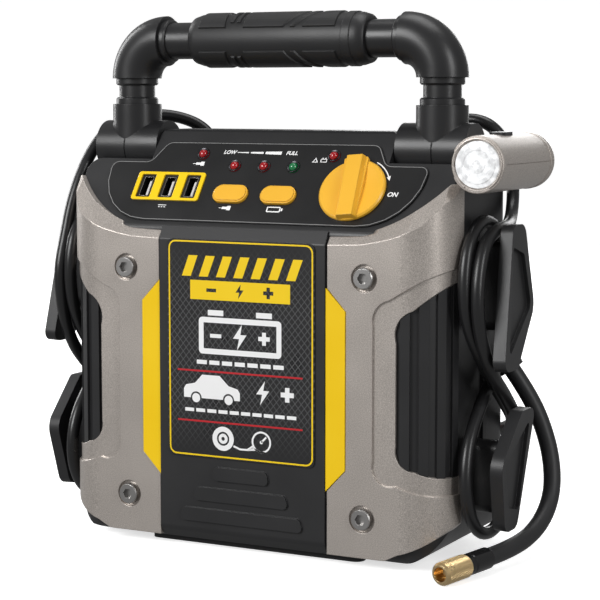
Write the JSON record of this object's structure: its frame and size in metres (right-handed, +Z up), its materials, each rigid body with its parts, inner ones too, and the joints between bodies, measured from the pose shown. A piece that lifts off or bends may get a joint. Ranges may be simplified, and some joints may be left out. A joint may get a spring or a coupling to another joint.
{
  "type": "jump starter pack",
  "caption": "Portable car jump starter with a tubular top handle, control panel, swivel lamp, jumper cables wound on side cleats and an air hose.",
  "frame": {"origin": "centre of the footprint at the bottom of the feet, measured without the loose air hose", "axes": "+Z up, +Y from the control panel towards the rear, +X to the object's side with the lamp and the air hose (right-hand side seen from the front)"},
  "size_m": [0.3362, 0.1569, 0.3362],
  "materials": {
    "black_plastic": "satin",
    "black_gloss": "semi-gloss",
    "grip_black": "matt",
    "silver_paint": "satin metallic paint on plastic",
    "yellow_plastic": "satin",
    "amber_plastic": "satin",
    "label": "printed label",
    "screw_steel": "satin",
    "usb_shell": "bright",
    "led_red": "glossy",
    "led_green": "glossy",
    "lens": "clear",
    "cable_rubber": "matt",
    "hose_rubber": "matt",
    "brass": "satin",
    "clamp_red": "satin",
    "clamp_black": "satin",
    "pin_steel": "satin",
    "gauge_face": "black bezel and face",
    "needle_red": "satin",
    "battery_case": "matt",
    "compressor_metal": "satin",
    "foot_rubber": "matt"
  },
  "bodies": {
    "pack": {"air_chuck": "brass", "air_hose": "hose_rubber", "battery": "battery_case", "bracket_screw_lower_left": "screw_steel", "bracket_screw_lower_right": "screw_steel", "bracket_screw_upper_left": "screw_steel", "bracket_screw_upper_right": "screw_steel", "center_panel": "black_plastic", "clamp_lower_arm_left": "clamp_black", "clamp_lower_arm_right": "clamp_red", "clamp_pin_left": "pin_steel", "clamp_pin_right": "pin_steel", "cleat_lower_left": "black_plastic", "cleat_lower_right": "black_plastic", "cleat_upper_left": "black_plastic", "cleat_upper_right": "black_plastic", "compressor": "compressor_metal", "control_fascia": "black_gloss", "foot_front": "foot_rubber", "foot_rear": "foot_rubber", "front_shell": "black_plastic", "hand_grip": "grip_black", "handle_crossbar": "black_plastic", "handle_elbow_left": "black_plastic", "handle_elbow_right": "black_plastic", "handle_riser_left": "black_plastic", "handle_riser_right": "black_plastic", "handle_tee_left": "black_plastic", "handle_tee_right": "black_plastic", "hose_ferrule": "black_plastic", "jumper_cable_left": "cable_rubber", "jumper_cable_right": "cable_rubber", "label_plate": "label", "lamp_hub": "black_plastic", "led_full": "led_green", "led_low": "led_red", "led_mid": "led_red", "led_reverse": "led_red", "led_usb": "led_red", "left_accent": "yellow_plastic", "left_bracket": "silver_paint", "outlet_socket": "black_plastic", "pressure_gauge": "gauge_face", "rear_fittings": "black_plastic", "rear_shell": "black_plastic", "right_accent": "yellow_plastic", "right_bracket": "silver_paint", "usb_bezel": "yellow_plastic", "usb_ports": "usb_shell"},
    "knob": {"power_knob": "amber_plastic"},
    "usb_key": {"usb_button": "amber_plastic"},
    "battery_key": {"battery_button": "amber_plastic"},
    "lamp": {"lamp_body": "silver_paint", "lamp_lens": "lens"},
    "lamp_key": {"lamp_button": "black_plastic"},
    "clamp_jaw_right": {"clamp_upper_arm_right": "clamp_red"},
    "clamp_jaw_left": {"clamp_upper_arm_left": "clamp_black"},
    "needle": {"gauge_needle": "needle_red"},
    "rocker": {"compressor_switch": "clamp_red"},
    "cap": {"outlet_cap": "black_plastic"}
  },
  "joints": [
    {"name": "knob_turn", "type": "hinge", "parent": "pack", "child": "knob", "pos_m": [0.0663, -0.04691, 0.22568], "axis": [0, 0.8111, -0.585], "range_deg": [0, 96]},
    {"name": "usb_key_press", "type": "slide", "parent": "pack", "child": "usb_key", "axis": [0, 0.8111, -0.585], "range_m": [0, 0.0015], "stiffness_N_per_m": 300, "springref_m": -0.001},
    {"name": "battery_key_press", "type": "slide", "parent": "pack", "child": "battery_key", "axis": [0, 0.8111, -0.585], "range_m": [0, 0.0015], "stiffness_N_per_m": 300, "springref_m": -0.001},
    {"name": "lamp_turn", "type": "hinge", "parent": "pack", "child": "lamp", "pos_m": [0.131, -0.0106, 0.244], "axis": [1, 0, 0], "range_deg": [-25, 35]},
    {"name": "lamp_key_press", "type": "slide", "parent": "lamp", "child": "lamp_key", "axis": [0, 0, -1], "range_m": [0, 0.0012], "stiffness_N_per_m": 300, "springref_m": -0.001},
    {"name": "clamp_open_right", "type": "hinge", "parent": "pack", "child": "clamp_jaw_right", "pos_m": [0.048, 0.0619, 0.084], "axis": [0, 1, 0], "range_deg": [0, 18], "stiffness_Nm_per_rad": 0.5, "springref_deg": -17.19},
    {"name": "clamp_open_left", "type": "hinge", "parent": "pack", "child": "clamp_jaw_left", "pos_m": [-0.048, 0.0619, 0.084], "axis": [0, -1, 0], "range_deg": [0, 18], "stiffness_Nm_per_rad": 0.5, "springref_deg": -17.19},
    {"name": "needle_sweep", "type": "hinge", "parent": "pack", "child": "needle", "pos_m": [0, 0.0499, 0.168], "axis": [0, -1, 0], "range_deg": [0, 270], "stiffness_Nm_per_rad": 0.0005, "springref_deg": -11.46},
    {"name": "rocker_tilt", "type": "hinge", "parent": "pack", "child": "rocker", "pos_m": [-0.054, 0.0469, 0.159], "axis": [1, 0, 0], "range_deg": [0, 12]},
    {"name": "outlet_cap_lift", "type": "hinge", "parent": "pack", "child": "cap", "pos_m": [0.054, 0.0529, 0.18], "axis": [1, 0, 0], "range_deg": [0, 150]}
  ]
}
